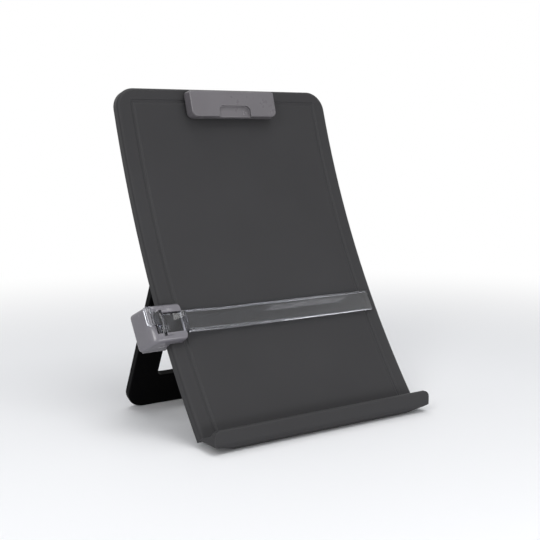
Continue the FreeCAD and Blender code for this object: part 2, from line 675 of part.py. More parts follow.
# Headed hinge pins, pushed outward through the leg into the board's ears
pins = new_body("hinge_pins", place, HINGE_Y, HINGE_Z,
                lean_at("hinge_along"), -1)
for hand in ("-1", "1"):
    name = "left" if hand == "-1" else "right"
    inner = bar_in + " - play"
    tip = "board_width/2 - wall - play"
    start = inner if hand == "1" else "-(%s)" % tip
    shank = new_sketch(pins, "pin_" + name, "YZ_Plane", away=start)
    circle(shank, "0", "0", "pin_radius")
    extrude(pins, shank, "%s - (%s)" % (tip, inner))
    start = ("%s - pin_head_thick" % inner if hand == "1"
             else "-(%s)" % inner)
    head = new_sketch(pins, "pin_head_" + name, "YZ_Plane", away=start)
    circle(head, "0", "0", "pin_head")
    extrude(pins, head, "pin_head_thick")

# Clip cover: a shallow lid that presses on the board, with a thumb scoop
cover = new_body("clip_cover", on_board, "clip_along")
lid = new_sketch(cover, "cover_section", "XY_Plane")
outline(lid, [("-clip_base_half", "-clip_lift"),
              ("-clip_face_half", "-clip_rise"),
              ("clip_face_half", "-clip_rise"),
              ("clip_base_half", "-clip_lift")])
extrude(cover, lid, "clip_tall", both=True)
tall = value("clip_tall/2")


def on_side(edge, z):
    return (near(middle(edge).z, z) and abs(middle(edge).x) > 40
            and not along(edge, (1, 0, 0)))


soften(cover, "cover_low_corners", "clip_low_round",
       lambda e: on_side(e, -tall))
soften(cover, "cover_top_corners", "clip_top_round",
       lambda e: on_side(e, tall))
soften(cover, "cover_relief", "clip_relief",
       lambda e: along(e, (1, 0, 0)) and near(middle(e).z, tall)
       and near(middle(e).y, value("-clip_lift")))
soften(cover, "cover_edges", "clip_edge",
       lambda e: near(middle(e).y, value("-clip_rise")))
inside = new_sketch(cover, "cover_inside", "XY_Plane",
                    away="-clip_tall/2 + clip_wall")
outline(inside, [("-clip_base_half + clip_wall + 0.2", "0.5"),
                 ("-clip_face_half + clip_wall", "-clip_rise + clip_wall"),
                 ("clip_face_half - clip_wall", "-clip_rise + clip_wall"),
                 ("clip_base_half - clip_wall - 0.2", "0.5")])
extrude(cover, inside, "clip_tall - clip_wall - clip_top_wall", cuts=True,
        back=True)
swell = new_sketch(cover, "scoop_swell", "XZ_Plane",
                   away="clip_rise - clip_wall/2")
rectangle(swell, "-scoop_half - clip_wall", "scoop_half + clip_wall",
          "-clip_tall/2 + clip_wall/2", "scoop_top + clip_wall")
extrude(cover, swell, "scoop_deep + clip_wall/2", back=True)
scoop = new_sketch(cover, "thumb_scoop", "XZ_Plane", away="clip_rise + 1")
rectangle(scoop, "-scoop_half", "scoop_half", "-clip_tall/2 - 1", "scoop_top")
extrude(cover, scoop, "scoop_deep + 1", cuts=True)
soften(cover, "scoop_corners", "scoop_round",
       lambda e: along(e, (0, 1, 0)) and near(abs(middle(e).x),
                                              value("scoop_half"))
       and near(middle(e).z, value("scoop_top")))
dots = new_sketch(cover, "grip_dots", "XZ_Plane",
                  away="clip_rise - scoop_deep - 0.2")
for x, z in (("11.5", "-6.5"), ("11.5", "-9.3"), ("14.3", "-8.2")):
    circle(dots, x, z, "dot_radius")
extrude(cover, dots, "dot_proud + 0.2")
for hand in ("-1", "1"):
    name = "left" if hand == "-1" else "right"
    end = "clip_face_half - clip_wall + 1.2"
    start = "clip_boss_in" if hand == "1" else "-(%s)" % end
    boss = new_sketch(cover, "boss_" + name, "YZ_Plane", away=start)
    circle(boss, "-clip_pin_out", "clip_pin_up", "clip_boss")
    extrude(cover, boss, end + " - clip_boss_in")
    start = "clip_boss_in - 1" if hand == "1" else "-clip_pin_half - 0.3"
    eye = new_sketch(cover, "eye_" + name, "YZ_Plane", away=start)
    circle(eye, "-clip_pin_out", "clip_pin_up",
           "clip_pin_radius + clip_joint")
    extrude(cover, eye, "clip_pin_half - clip_boss_in + 1.3", cuts=True,
            back=True)

# Clip base: a plate screwed to the rim, with two lugs for the pin
base = new_body("clip_base", on_board, "clip_along")
plate = new_sketch(base, "base_plate", "XZ_Plane", away="plate_bed")
rectangle(plate, "-plate_half", "plate_half", "plate_low", "plate_high")
extrude(base, plate, "plate_thick")
for hand in ("-1", "1"):
    name = "left" if hand == "-1" else "right"
    start = "%s*(lug_place + lug_thick/2) - lug_thick/2" % hand
    web = new_sketch(base, "lug_web_" + name, "YZ_Plane", away=start)
    outline(web, [
        ("-plate_thick", "plate_low/2"), ("-plate_thick", "plate_high"),
        ("-clip_pin_out + lug_radius*0.7", "clip_pin_up + lug_radius*0.7"),
        ("-clip_pin_out - lug_radius*0.6", "clip_pin_up - lug_radius*0.8")])
    extrude(base, web, "lug_thick")
    lug = new_sketch(base, "lug_" + name, "YZ_Plane", away=start)
    circle(lug, "-clip_pin_out", "clip_pin_up", "lug_radius")
    extrude(base, lug, "lug_thick")
eye = new_sketch(base, "lug_eye", "YZ_Plane")
circle(eye, "-clip_pin_out", "clip_pin_up", "clip_pin_radius + seat")
extrude(base, eye, "2*plate_half", cuts=True, both=True)
holes = new_sketch(base, "base_holes", "XZ_Plane", away="plate_bed - 1")
for side in ("-1", "1"):
    circle(holes, side + "*clip_screw_place", "clip_screw_up",
           "screw_radius + 2*running")
extrude(base, holes, "plate_thick + 2", cuts=True, back=True)
screws("clip_screws", on_board, ["clip_along"], "XZ_Plane",
       [(side + "*clip_screw_place", "clip_screw_up") for side in ("-1", "1")],
       "plate_bed + plate_thick + seat", True, "plate_thick + skirt - 3.5")
pin = new_body("clip_pin", on_board, "clip_along")
rod = new_sketch(pin, "clip_pin_section", "YZ_Plane")
circle(rod, "-clip_pin_out", "clip_pin_up", "clip_pin_radius")
extrude(pin, rod, "2*clip_pin_half", both=True)
grip = new_body("clip_grip", on_board, "clip_along")
strip = new_sketch(grip, "grip_section", "XY_Plane",
                   away="-clip_tall/2 + clip_wall + 0.05")
rectangle(strip, "-grip_half", "grip_half",
          "-clip_lift + 0.1 - grip_thick", "-clip_lift + 0.1")
extrude(grip, strip, "grip_tall")

# Torsion spring round the pin: the long leg bears on the plate below the pin,
# the short one pushes the lid's face above it, and so closes the lid
ring = value("coil_radius")
helix = Part.makeHelix(value("coil_pitch"),
                       value("(coil_turns + 0.25)*coil_pitch"), ring)
helix.rotate(Vector(), Vector(0, 1, 0), 90)
helix.rotate(Vector(), Vector(1, 0, 0), 90)
helix.translate(Vector(-value("coil_turns*coil_pitch/2"),
                       value("-clip_pin_out"), value("clip_pin_up")))
wound = helix.Edges[0]
first = wound.valueAt(wound.FirstParameter)
last = wound.valueAt(wound.LastParameter)
on_plate = Vector(first.x, value(
    "-plate_bed - plate_thick - wire_radius - clip_joint"), value(
    "clip_pin_up - coil_leg"))
on_lid = Vector(last.x, value("-clip_rise + clip_wall + 3*clip_joint"),
                last.z)
path = Part.Wire([Part.makeLine(on_plate, first), wound,
                  Part.makeLine(last, on_lid)])
ring_edge = Part.makeCircle(value("wire_radius"), on_plate, first - on_plate)
spring = doc.addObject("Part::Feature", "clip_spring")
spring.Label = "clip_spring"
spring.Shape = path.makePipeShell([Part.Wire(ring_edge)], True, False)
on_board(spring, "clip_along")

# Slider housing: a moulded shell that hooks over the left rim
housing = new_body("slider_housing", on_axis, "slide_along")
SIDE = "(board_width/2 + gap)"
shell = new_sketch(housing, "housing_section", "XY_Plane")
outline(shell, [("-slide_reach", "arc_radius - gap"),
                ("-slide_reach", "arc_radius - slide_face"),
                ("-slide_face_left", "arc_radius - slide_face"),
                ("-slide_left", "arc_radius + slide_back"),
                ("-" + SIDE, "arc_radius + slide_back"),
                ("-" + SIDE, "arc_radius - gap")])
revolve(housing, shell, angle_between("0", "slide_long"), both=True)
long_half = value("slide_long/2")


def out_of(point):
    return value("arc_radius") - math.hypot(point.y, point.z)


def up_slide(point):
    return math.atan2(point.z, point.y) * value("arc_radius")


soften(housing, "housing_shoulder", "slide_shoulder",
       lambda e: near(up_slide(middle(e)), 0)
       and near(middle(e).x, value("-slide_face_left"))
       and near(out_of(middle(e)), value("slide_face")))
soften(housing, "housing_reach_corners", "slide_corner",
       lambda e: near(abs(up_slide(middle(e))), long_half)
       and near(middle(e).x, value("-slide_reach"))
       and 1 < out_of(middle(e)) < 8)
soften(housing, "housing_edges", "slide_edge",
       lambda e: (near(abs(up_slide(middle(e))), long_half, 2.5)
                  and (middle(e).x < value("-slide_face_left + 5")
                       or near(out_of(middle(e)), value("slide_face"))))
       or (near(up_slide(middle(e)), 0)
           and near(middle(e).x, value("-slide_reach"))
           and near(out_of(middle(e)), value("slide_face"))))
cave = new_sketch(housing, "housing_hollow", "XY_Plane")
outline(cave, [
    ("-%s - slide_wall" % SIDE, "arc_radius + slide_back + 1"),
    ("-%s - slide_wall" % SIDE, "arc_radius - slide_face + slide_wall + 0.2"),
    ("-slide_face_left + slide_wall",
     "arc_radius - slide_face + slide_wall + 0.2"),
    ("-slide_left + slide_wall + 0.3", "arc_radius + slide_back + 1")])
revolve(housing, cave, angle_between("0", "slide_long - 2*slide_wall"),
        cuts=True, both=True)
posts = new_sketch(housing, "housing_posts", "XZ_Plane",
                   away="-(arc_radius - slide_face + slide_wall/2)")
for side in ("-1", "1"):
    circle(posts, "-boss_side", side + "*boss_along", "boss_radius")
extrude(housing, posts, "slide_face - slide_wall/2 + slide_back - 0.15",
        back=True)
for side in ("-1", "1"):
    start = "slot_half" if side == "1" else "-slot_half - bearing_thick"
    rest = new_sketch(housing, "bearing_" + (
        "high" if side == "1" else "low"), "XY_Plane", away=start)
    rectangle(rest, "-tip_axis - bearing_half", "-tip_axis + bearing_half",
              "arc_radius - slide_face + slide_wall",
              "arc_radius - tip_out + tip_pin + slide_wall/2")
    extrude(housing, rest, "bearing_thick")
slot = new_sketch(housing, "housing_slot", "XY_Plane")
rectangle(slot, "-slot_left", "-slide_reach + 1",
          "arc_radius - slide_face - 1", "arc_radius - gap + 0.1")
revolve(housing, slot, angle_between("0", "2*slot_half"), cuts=True,
        both=True)
notch = new_sketch(housing, "pin_notch", "XY_Plane")
rectangle(notch, "-tip_axis - tip_pin - seat", "-tip_axis + tip_pin + seat",
          "arc_radius - slide_face - 1", "arc_radius - tip_out")
extrude(housing, notch, "2*tip_pin_half + play", cuts=True, both=True)
seat = new_sketch(housing, "pin_seat", "XY_Plane")
circle(seat, "-tip_axis", "arc_radius - tip_out", "tip_pin + seat")
extrude(housing, seat, "2*tip_pin_half + play", cuts=True, both=True)
gate = new_sketch(housing, "shoe_gate", "XY_Plane")
rectangle(gate, "-%s - slide_wall - 0.2" % SIDE, "-%s + 0.2" % SIDE,
          "arc_radius + shoe_front - 0.25", "arc_radius + shoe_back + 0.25")
revolve(housing, gate, angle_between("0", "2*shoe_half + 0.6"), cuts=True,
        both=True)
pilots = new_sketch(housing, "housing_pilots", "XZ_Plane",
                    away="-(arc_radius + slide_back + 1)")
for side in ("-1", "1"):
    circle(pilots, "-boss_side", side + "*boss_along", "small_screw + seat")
extrude(housing, pilots, "small_screw_long + 1", cuts=True, back=True)

# Slider cover: closes the shell and catches the rim's rear edge
back = new_body("slider_cover", on_axis, "slide_along")
plate = new_sketch(back, "cover_plate", "XY_Plane")
outline(plate, [
    ("-slide_left", "arc_radius + slide_back + seat"),
    ("-%s + gap/2" % SIDE, "arc_radius + slide_back + seat"),
    ("-%s + gap/2" % SIDE, "arc_radius + skirt + gap"),
    ("-lip_reach", "arc_radius + skirt + gap"),
    ("-lip_reach", "arc_radius + slide_back + cover_thick"),
    ("-slide_left + 0.8", "arc_radius + slide_back + cover_thick")])
revolve(back, plate, angle_between("0", "slide_long"), both=True)
soften(back, "cover_corners", "slide_edge",
       lambda e: near(abs(up_slide(middle(e))), long_half)
       and near(middle(e).x, value("-slide_left + 0.4"), 0.3))
sinks = new_sketch(back, "cover_sinks", "XZ_Plane",
                   away="-(arc_radius + slide_back + cover_thick + 1)")
holes = new_sketch(back, "cover_holes", "XZ_Plane",
                   away="-(arc_radius + slide_back + cover_thick + 1)")
for side in ("-1", "1"):
    circle(sinks, "-boss_side", side + "*boss_along", "small_head + 0.15")
    circle(holes, "-boss_side", side + "*boss_along",
           "small_screw + 2*running")
extrude(back, sinks, "small_head_thick + 1.05", cuts=True, back=True)
extrude(back, holes, "cover_thick + 3", cuts=True, back=True)
screws("slider_screws", on_axis, ["slide_along"], "XZ_Plane",
       [("-boss_side", side + "*boss_along") for side in ("-1", "1")],
       "-(arc_radius + slide_back + cover_thick - small_head_thick)", False,
       "small_screw_long", "small_screw", "small_head", "small_head_thick")

# Friction shoe and its bowed leaf, which hold the slider where it is put
shoe = new_body("slider_shoe", on_axis, "slide_along")
block = new_sketch(shoe, "shoe_section", "XY_Plane")
rectangle(block, "-shoe_left", "-board_width/2 - 0.3",
          "arc_radius + shoe_front", "arc_radius + shoe_back")
revolve(shoe, block, angle_between("0", "2*shoe_half"), both=True)
leaf = new_body("slider_leaf", on_axis, "slide_along")
bow = new_sketch(leaf, "leaf_outline", "XZ_Plane",
                 away="-(arc_radius + shoe_back - 1.5)")
outline(bow, [
    ("-shoe_left - 0.1", "-leaf_flat"), ("-shoe_left - 0.1", "leaf_flat"),
    ("-leaf_out", "leaf_half"), ("-leaf_out - leaf_thick", "leaf_half - 0.4"),
    ("-shoe_left - 0.1 - leaf_thick", "leaf_flat - 0.1"),
    ("-shoe_left - 0.1 - leaf_thick", "-leaf_flat + 0.1"),
    ("-leaf_out - leaf_thick", "-leaf_half + 0.4"),
    ("-leaf_out", "-leaf_half")])
extrude(leaf, bow, "shoe_back - shoe_front - 3")

# Line guide: one clear moulding that tips on a pin in the slider
guide = new_body("line_guide", on_axis, "slide_along")


def ribbon(sketch, thin):
    # The guide seen end on: high by the slider, then low over the board.
    low, high = "guide_low - %s" % thin, "guide_high - %s" % thin
    rise = "guide_thick + 2*%s" % thin
    start = "-block_left + 0.5" if thin == "0" else "-block_right - 0.5"
    outline(sketch, [
        (start, "arc_radius - (%s)" % high),
        ("-block_right + 1", "arc_radius - (%s)" % high),
        ("-guide_bend", "arc_radius - (%s)" % low),
        ("guide_end", "arc_radius - (%s)" % low),
        ("guide_end", "arc_radius - (%s) - (%s)" % (low, rise)),
        ("-guide_bend", "arc_radius - (%s) - (%s)" % (low, rise)),
        ("-block_right + 1", "arc_radius - (%s) - (%s)" % (high, rise)),
        (start, "arc_radius - (%s) - (%s)" % (high, rise))])


web = new_sketch(guide, "guide_web", "XY_Plane")
ribbon(web, "0")
extrude(guide, web, "2*guide_half", both=True)
for name, start in (("low", "-guide_half"), ("high", "guide_half - rail_wide")):
    rail = new_sketch(guide, "rail_" + name, "XY_Plane", away=start)
    ribbon(rail, "rail_proud")
    extrude(guide, rail, "rail_wide")
block = new_sketch(guide, "end_block", "XY_Plane")
rectangle(block, "-block_left", "-block_right",
          "arc_radius - guide_high - guide_thick - block_proud",
          "arc_radius - guide_high + block_proud")
extrude(guide, block, "2*guide_half", both=True)
hub = new_sketch(guide, "guide_hub", "XY_Plane")
rectangle(hub, "-hub_left", "-block_left + 0.5",
          "arc_radius - guide_high - guide_thick - 0.2",
          "arc_radius - guide_high + 0.2")
extrude(guide, hub, "2*slot_half - 2*tip_slack", both=True)
barrel = new_sketch(guide, "guide_barrel", "XY_Plane")
circle(barrel, "-tip_axis", "arc_radius - tip_out", "barrel_radius")
extrude(guide, barrel, "2*slot_half - 2*tip_slack", both=True)
riser = new_sketch(guide, "tab_riser", "XY_Plane", away="tab_low")
outline(riser, [
    ("-hub_left", "arc_radius - guide_high - 0.2"),
    ("-hub_left + tab_thick", "arc_radius - guide_high - 0.2"),
    ("-hub_left + tab_thick", "arc_radius - tab_lift - tab_thick"),
    ("-tab_right - 0.5", "arc_radius - tab_lift - tab_thick"),
    ("-tab_right - 0.5", "arc_radius - tab_lift"),
    ("-hub_left", "arc_radius - tab_lift")])
extrude(guide, riser, "slot_half - tip_slack - tab_low")
tab = new_sketch(guide, "finger_tab", "XZ_Plane",
                 away="-(arc_radius - tab_lift)")
rectangle(tab, "-tab_left", "-tab_right", "tab_low", "tab_high")
extrude(guide, tab, "tab_thick")
soften(guide, "tab_corners", "tab_ring + 0.6",
       lambda e: along(e, (0, 1, 0)) and near(middle(e).x, value("-tab_left")))
ring = new_sketch(guide, "tab_eye", "XZ_Plane",
                  away="-(arc_radius - tab_lift) - 1")
rectangle(ring, "-tab_left + tab_ring", "-tab_right - tab_ring",
          "tab_low + tab_ring", "tab_high - tab_ring")
extrude(guide, ring, "tab_thick + 2", cuts=True, back=True)
bore = new_sketch(guide, "guide_bore", "XY_Plane")
circle(bore, "-tip_axis", "arc_radius - tip_out", "tip_pin + running")
extrude(guide, bore, "2*slot_half", cuts=True, both=True)
tip_pin = new_body("guide_pin", on_axis, "slide_along")
rod = new_sketch(tip_pin, "guide_pin_section", "XY_Plane")
circle(rod, "-tip_axis", "arc_radius - tip_out", "tip_pin")
extrude(tip_pin, rod, "2*tip_pin_half", both=True)

# Check every object and write each part
NODES = [thing for thing in doc.Objects
         if thing.TypeId in ("PartDesign::Body", "Part::Feature")
         and thing.Label == thing.Name]
doc.recompute()
for thing in doc.Objects:
    if any(word in ("Invalid", "Error") for word in thing.State):
        raise ValueError("%s is %s" % (thing.Name, thing.State))
for thing in NODES:
    if thing.Shape.isNull() or not thing.Shape.isValid():
        raise ValueError("%s has no sound shape" % thing.Label)
    thing.Shape.exportStep(os.path.join("parts", thing.Label + ".step"))
    print("%-16s %2d solids %9.1f mm3" % (
        thing.Label, len(thing.Shape.Solids), thing.Shape.Volume))
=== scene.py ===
# %% [markdown]
# # A copy holder with a line guide
# A copy holder stands beside a screen and holds copy upright for a typist.
# This one has a curved board on a folding leg, a ledge along its foot,
# a sprung clip at its top edge and a clear guide on a slider.
# The solids come from the part's own model, at their real size in metres.
# This lesson gives them their finishes, rounds the slider and the guide
# more softly, lights them, and stands the camera at the picture's angle.

import math

import bpy
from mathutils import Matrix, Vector


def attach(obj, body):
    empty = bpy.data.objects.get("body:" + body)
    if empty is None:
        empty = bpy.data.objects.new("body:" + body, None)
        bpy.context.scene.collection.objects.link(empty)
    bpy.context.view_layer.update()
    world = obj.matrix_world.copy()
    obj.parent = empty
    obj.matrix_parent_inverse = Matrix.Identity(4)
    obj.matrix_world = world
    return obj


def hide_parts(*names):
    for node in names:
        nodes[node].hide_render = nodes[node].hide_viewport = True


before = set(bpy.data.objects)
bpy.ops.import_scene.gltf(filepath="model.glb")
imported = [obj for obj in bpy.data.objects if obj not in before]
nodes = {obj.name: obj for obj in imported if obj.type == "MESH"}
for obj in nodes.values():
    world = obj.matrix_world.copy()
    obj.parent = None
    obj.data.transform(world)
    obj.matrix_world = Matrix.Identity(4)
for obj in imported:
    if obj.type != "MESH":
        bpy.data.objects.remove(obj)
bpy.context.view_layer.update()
print("pieces of the part:", len(nodes))

# %% [markdown]
# ## The camera
# A camera's place can be worked out from things of known size in a picture.
# Here the straight edges and the long arc of the board gave it:
# low, to the left of the board, looking a little down.
# The lens is given in millimetres for a sensor 36 mm wide.

# %% Stand the camera
CAMERA_PLACE = (-0.5448, -0.7048, 0.2655)
LOOKS_DOWN = 7.78
LOOKS_RIGHT = 34.78
LENS = 68.29
SENSOR = 36

lens_data = bpy.data.cameras.new("camera")
lens_data.sensor_width = SENSOR
lens_data.lens = LENS
camera = bpy.data.objects.new("camera", lens_data)
bpy.context.scene.collection.objects.link(camera)
camera.location = CAMERA_PLACE
camera.rotation_euler = (math.radians(90 - LOOKS_DOWN), 0,
                         -math.radians(LOOKS_RIGHT))
bpy.context.scene.camera = camera
far_off = Vector(CAMERA_PLACE).length
print("camera stands", round(far_off, 3), "m from the ledge")

# %% [markdown]
# ## Node helpers
# A material in Blender is a small network of nodes.
# The nodes can be placed by hand in the shader editor, one by one.
# These helpers do the same in code: they add a node, set its numbers
# and join it to others, so that each finish below reads as a short recipe.


# %% Helpers that add and join nodes
def new_finish(name):
    material = bpy.data.materials.new(name)
    material.use_nodes = True
    tree = material.node_tree
    print("finish", name)
    return material, tree, tree.nodes["Principled BSDF"]


def add_node(tree, kind, **values):
    # A word is either a setting of the node or the name of an input.
    node = tree.nodes.new("ShaderNode" + kind)
    for word, value in values.items():
        if hasattr(node, word):
            setattr(node, word, value)
        else:
            node.inputs[word.replace("_", " ").title()].default_value = value
    return node


def join(tree, source, output, target, entry):
    tree.links.new(source.outputs[output], target.inputs[entry])


def place_of(tree):
    # Each point's place on the part, in metres.
    return add_node(tree, "TexCoord")


print("helpers for nodes are ready")

# %% [markdown]
# ## Clouds and ramps
# Nothing that is moulded, drawn or handled is the same all over.
# A picture of a real surface could show that, but it would need a file.
# Here clouds of noise do it: a ramp turns each cloud into two close
# colours, or into two close degrees of gloss.


# %% Helpers for uneven colour and gloss
def noise(tree, where, scale, detail, roughness=0.5):
    cloud = add_node(tree, "TexNoise", scale=scale, detail=detail,
                     roughness=roughness)
    join(tree, where, "Object", cloud, "Vector")
    return cloud


def grey(level):
    return (level, level, level, 1)


def ramp(tree, source, low, high, output=0):
    # Low and high are each a level of the source and the colour it gets.
    strip = add_node(tree, "ValToRGB")
    first, last = strip.color_ramp.elements
    first.position, first.color = low
    last.position, last.color = high
    join(tree, source, output, strip, "Fac")
    return strip


def uneven_colour(tree, shader, cloud, low, high):
    tint = ramp(tree, cloud, low, high)
    join(tree, tint, "Color", shader, "Base Color")


def uneven_gloss(tree, shader, cloud, low, high):
    # Low and high are each a level of the cloud and its roughness.
    shine = ramp(tree, cloud, (low[0], grey(low[1])), (high[0], grey(high[1])))
    join(tree, shine, "Color", shader, "Roughness")


print("helpers for colour and gloss are ready")

# %% [markdown]
# ## Rounded edges in the shader
# No moulded part has a truly sharp edge: each one catches a thin line of light.
# The Bevel node rounds the normals beside an edge by a real radius.
# Comparing them with the plain normals also tells where the edges are,
# and that mask paints them paler: a painted highlight for that thin line of
# light.

# %% Helpers for soft edges and grain
EDGE_BEGINS = 0.985
EDGE_FULL = 0.80


def soft_normals(tree, radius):
    return add_node(tree, "Bevel", samples=6, radius=radius)


def edge_mask(tree, rounded):
    # The dot product of two normals is one where the surface is flat.
    plain = add_node(tree, "NewGeometry")
    turn = add_node(tree, "VectorMath", operation="DOT_PRODUCT")
    join(tree, rounded, "Normal", turn, 0)
    join(tree, plain, "Normal", turn, 1)
    return ramp(tree, turn, (EDGE_FULL, grey(1)), (EDGE_BEGINS, grey(0)),
                output="Value")


def colour_with_painted_edges(tree, shader, cloud, rounded, colour, drift, edge_highlight_colour):
    # The colour drifts with the cloud, and the edges are painted paler: a
    # painted highlight.
    darker, paler = ((*[part*share for part in colour], 1) for share in drift)
    tint = ramp(tree, cloud, (0.30, darker), (0.70, paler))
    edges = edge_mask(tree, rounded)
    # Here the paler edge colour, a painted highlight, is mixed over the base
    # colour.
    painted_edge_mix = add_node(tree, "Mix", data_type="RGBA")
    join(tree, edges, "Color", painted_edge_mix, 0)
    join(tree, tint, "Color", painted_edge_mix, 6)
    painted_edge_mix.inputs[7].default_value = (*edge_highlight_colour, 1)
    join(tree, painted_edge_mix, 2, shader, "Base Color")


def grain_bump(tree, shader, rounded, source, height, strength):
    # Surface grain of a real height in metres, laid over the rounded normals.
    bump = add_node(tree, "Bump", strength=strength, distance=height)
    join(tree, source, 0, bump, "Height")
    join(tree, rounded, "Normal", bump, "Normal")
    join(tree, bump, "Normal", shader, "Normal")


print("helpers for edges and grain are ready")

# %% [markdown]
# ## Moulded plastic
# The board, ledge and leg are moulded in steel tools with a spark-eroded skin:
# a fine, even grain of a few tenths of a millimetre that scatters the light.
# Three clouds of noise make it: large and faint for the flow of the plastic,
# middle for smudges that change its gloss, and fine for the grain itself.

# %% A recipe for textured plastic
# The _EDGE colours are a painted highlight, laid on the edges by the edge mask.
CHARCOAL_COLOUR = (0.031, 0.0305, 0.0320)
CHARCOAL_EDGE = (0.075, 0.075, 0.080)
BLACK_COLOUR = (0.0013, 0.0013, 0.0015)
BLACK_EDGE = (0.012, 0.012, 0.014)


def textured_plastic(name, colour, edge_highlight_colour, sheen_level):
    material, tree, shader = new_finish(name)
    where = place_of(tree)
    flow = noise(tree, where, 14.0, 4.0)
    rounded = soft_normals(tree, 0.0007)
    colour_with_painted_edges(tree, shader, flow, rounded, colour, (0.96, 1.05), edge_highlight_colour)
    smudges = noise(tree, where, 55.0, 5.0, 0.6)
    uneven_gloss(tree, shader, smudges, (0.25, 0.47), (0.75, 0.53))
    skin = noise(tree, where, 1500.0, 2.0)
    grain_bump(tree, shader, rounded, skin, 0.00006, 0.35)
    shader.inputs["IOR"].default_value = 1.49
    shader.inputs["Specular IOR Level"].default_value = sheen_level
    return material


charcoal = textured_plastic("charcoal_plastic", CHARCOAL_COLOUR,
                            CHARCOAL_EDGE, 0.16)
black = textured_plastic("black_plastic", BLACK_COLOUR, BLACK_EDGE, 0.04)

# %% [markdown]
# ## Smooth grey plastic
# The slider and the clip are polished mouldings in a warm grey.
# They reflect the lamps in soft bars, so the roughness is low,
# and faint ripples bend those bars as shrinkage does on a real moulding.
# A thin coat would do for the polish alone, but the plastic itself shines too.

# %% A recipe for polished plastic
# The _EDGE colours are a painted highlight, laid on the edges by the edge mask.
SLIDER_COLOUR = (0.130, 0.124, 0.140)
SLIDER_EDGE = (0.25, 0.24, 0.26)
CLIP_COLOUR = (0.108, 0.101, 0.110)
CLIP_EDGE = (0.27, 0.255, 0.27)


def smooth_plastic(name, colour, edge_highlight_colour, gloss, coat):
    material, tree, shader = new_finish(name)
    where = place_of(tree)
    flow = noise(tree, where, 22.0, 3.0)
    rounded = soft_normals(tree, 0.0006)
    colour_with_painted_edges(tree, shader, flow, rounded, colour, (0.93, 1.07), edge_highlight_colour)
    smudges = noise(tree, where, 90.0, 6.0, 0.6)
    uneven_gloss(tree, shader, smudges,
                 (0.30, gloss - 0.04), (0.72, gloss + 0.06))
    ripples = noise(tree, where, 120.0, 2.0)
    grain_bump(tree, shader, rounded, ripples, 0.00008, 0.20)
    shader.inputs["IOR"].default_value = 1.5
    shader.inputs["Coat Weight"].default_value = coat
    shader.inputs["Coat Roughness"].default_value = 0.12
    return material


slider_grey = smooth_plastic("slider_grey", SLIDER_COLOUR, SLIDER_EDGE,
                             0.24, 0.25)
clip_grey = smooth_plastic("clip_grey", CLIP_COLOUR, CLIP_EDGE, 0.30, 0.15)

# %% [markdown]
# ## Clear plastic
# The guide is one smoky clear moulding: two passes through it take away
# about half of the light, which marks the line that it lies over.
# Its transmission is full, its index of refraction is that of acrylic,
# and faint smears in the gloss stand for the fingers that push it.
# The smoke is in the plastic and not on it: light that runs the long way
# through an edge is swallowed, so the edges are drawn as dark lines.

# %% The clear guide's finish
SMOKE_COLOUR = (0.02, 0.03, 0.12, 1)
SMOKE_DENSITY = 170.0

clear, tree, shader = new_finish("clear_acrylic")
where = place_of(tree)
haze = noise(tree, where, 40.0, 4.0)
uneven_colour(tree, shader, haze,
              (0.3, (0.90, 0.91, 0.93, 1)), (0.7, (0.95, 0.96, 0.98, 1)))
wipes = noise(tree, where, 160.0, 5.0, 0.65)
uneven_gloss(tree, shader, wipes, (0.35, 0.03), (0.75, 0.10))
waves = noise(tree, where, 30.0, 1.0)
ripple = add_node(tree, "Bump", strength=0.10, distance=0.0002)
join(tree, waves, 0, ripple, "Height")
join(tree, ripple, "Normal", shader, "Normal")
shader.inputs["Transmission Weight"].default_value = 1.0
shader.inputs["IOR"].default_value = 1.49
smoke = add_node(tree, "VolumeAbsorption")
smoke.inputs["Color"].default_value = SMOKE_COLOUR
smoke.inputs["Density"].default_value = SMOKE_DENSITY
join(tree, smoke, "Volume", tree.nodes["Material Output"], "Volume")

# %% [markdown]
# ## Drawn steel
# Most pins, the screws, the leaf and the spring are drawn wire and strip,
# and the dies leave fine lines that run along them.
# Noise that is squeezed far more across than along makes such lines,
# and one cloud of it serves for the colour, the gloss and the relief.

# %% Steel
ALONG_AND_ACROSS = (60, 1800, 1800)

steel, tree, shader = new_finish("drawn_steel")
squeeze = add_node(tree, "Mapping")
squeeze.inputs["Scale"].default_value = ALONG_AND_ACROSS
join(tree, place_of(tree), "Object", squeeze, "Vector")
lines = add_node(tree, "TexNoise", scale=1.0, detail=3.0)
join(tree, squeeze, "Vector", lines, "Vector")
uneven_colour(tree, shader, lines,
              (0.3, (0.42, 0.42, 0.43, 1)), (0.7, (0.60, 0.60, 0.61, 1)))
uneven_gloss(tree, shader, lines, (0.3, 0.24), (0.7, 0.40))
grain_bump(tree, shader, soft_normals(tree, 0.0002), lines, 0.00002, 0.3)
shader.inputs["Metallic"].default_value = 1.0

# %% [markdown]
# ## Blackened steel
# The guide's own pin lies under clear plastic and is seen as a dark line.
# It is dipped in a black oxide, which hides the metal and hardly shines,
# so it is made as a dull dark layer and not as a metal.

# %% Blackened steel
dark_steel, tree, shader = new_finish("blackened_steel")
oxide = noise(tree, place_of(tree), 400.0, 4.0)
uneven_colour(tree, shader, oxide,
              (0.3, (0.012, 0.012, 0.014, 1)), (0.7, (0.030, 0.030, 0.034, 1)))
uneven_gloss(tree, shader, oxide, (0.3, 0.42), (0.7, 0.58))
grain_bump(tree, shader, soft_normals(tree, 0.0002), oxide, 0.00002, 0.3)
shader.inputs["Specular IOR Level"].default_value = 0.4

# %% [markdown]
# ## Rubber
# The pads, the rods of the leg and the clip's strip are matt black rubber.
# Old rubber has a dusty bloom, which is a soft, large cloud in its colour,
# and an open skin, which is a fine and deep noise in its relief.

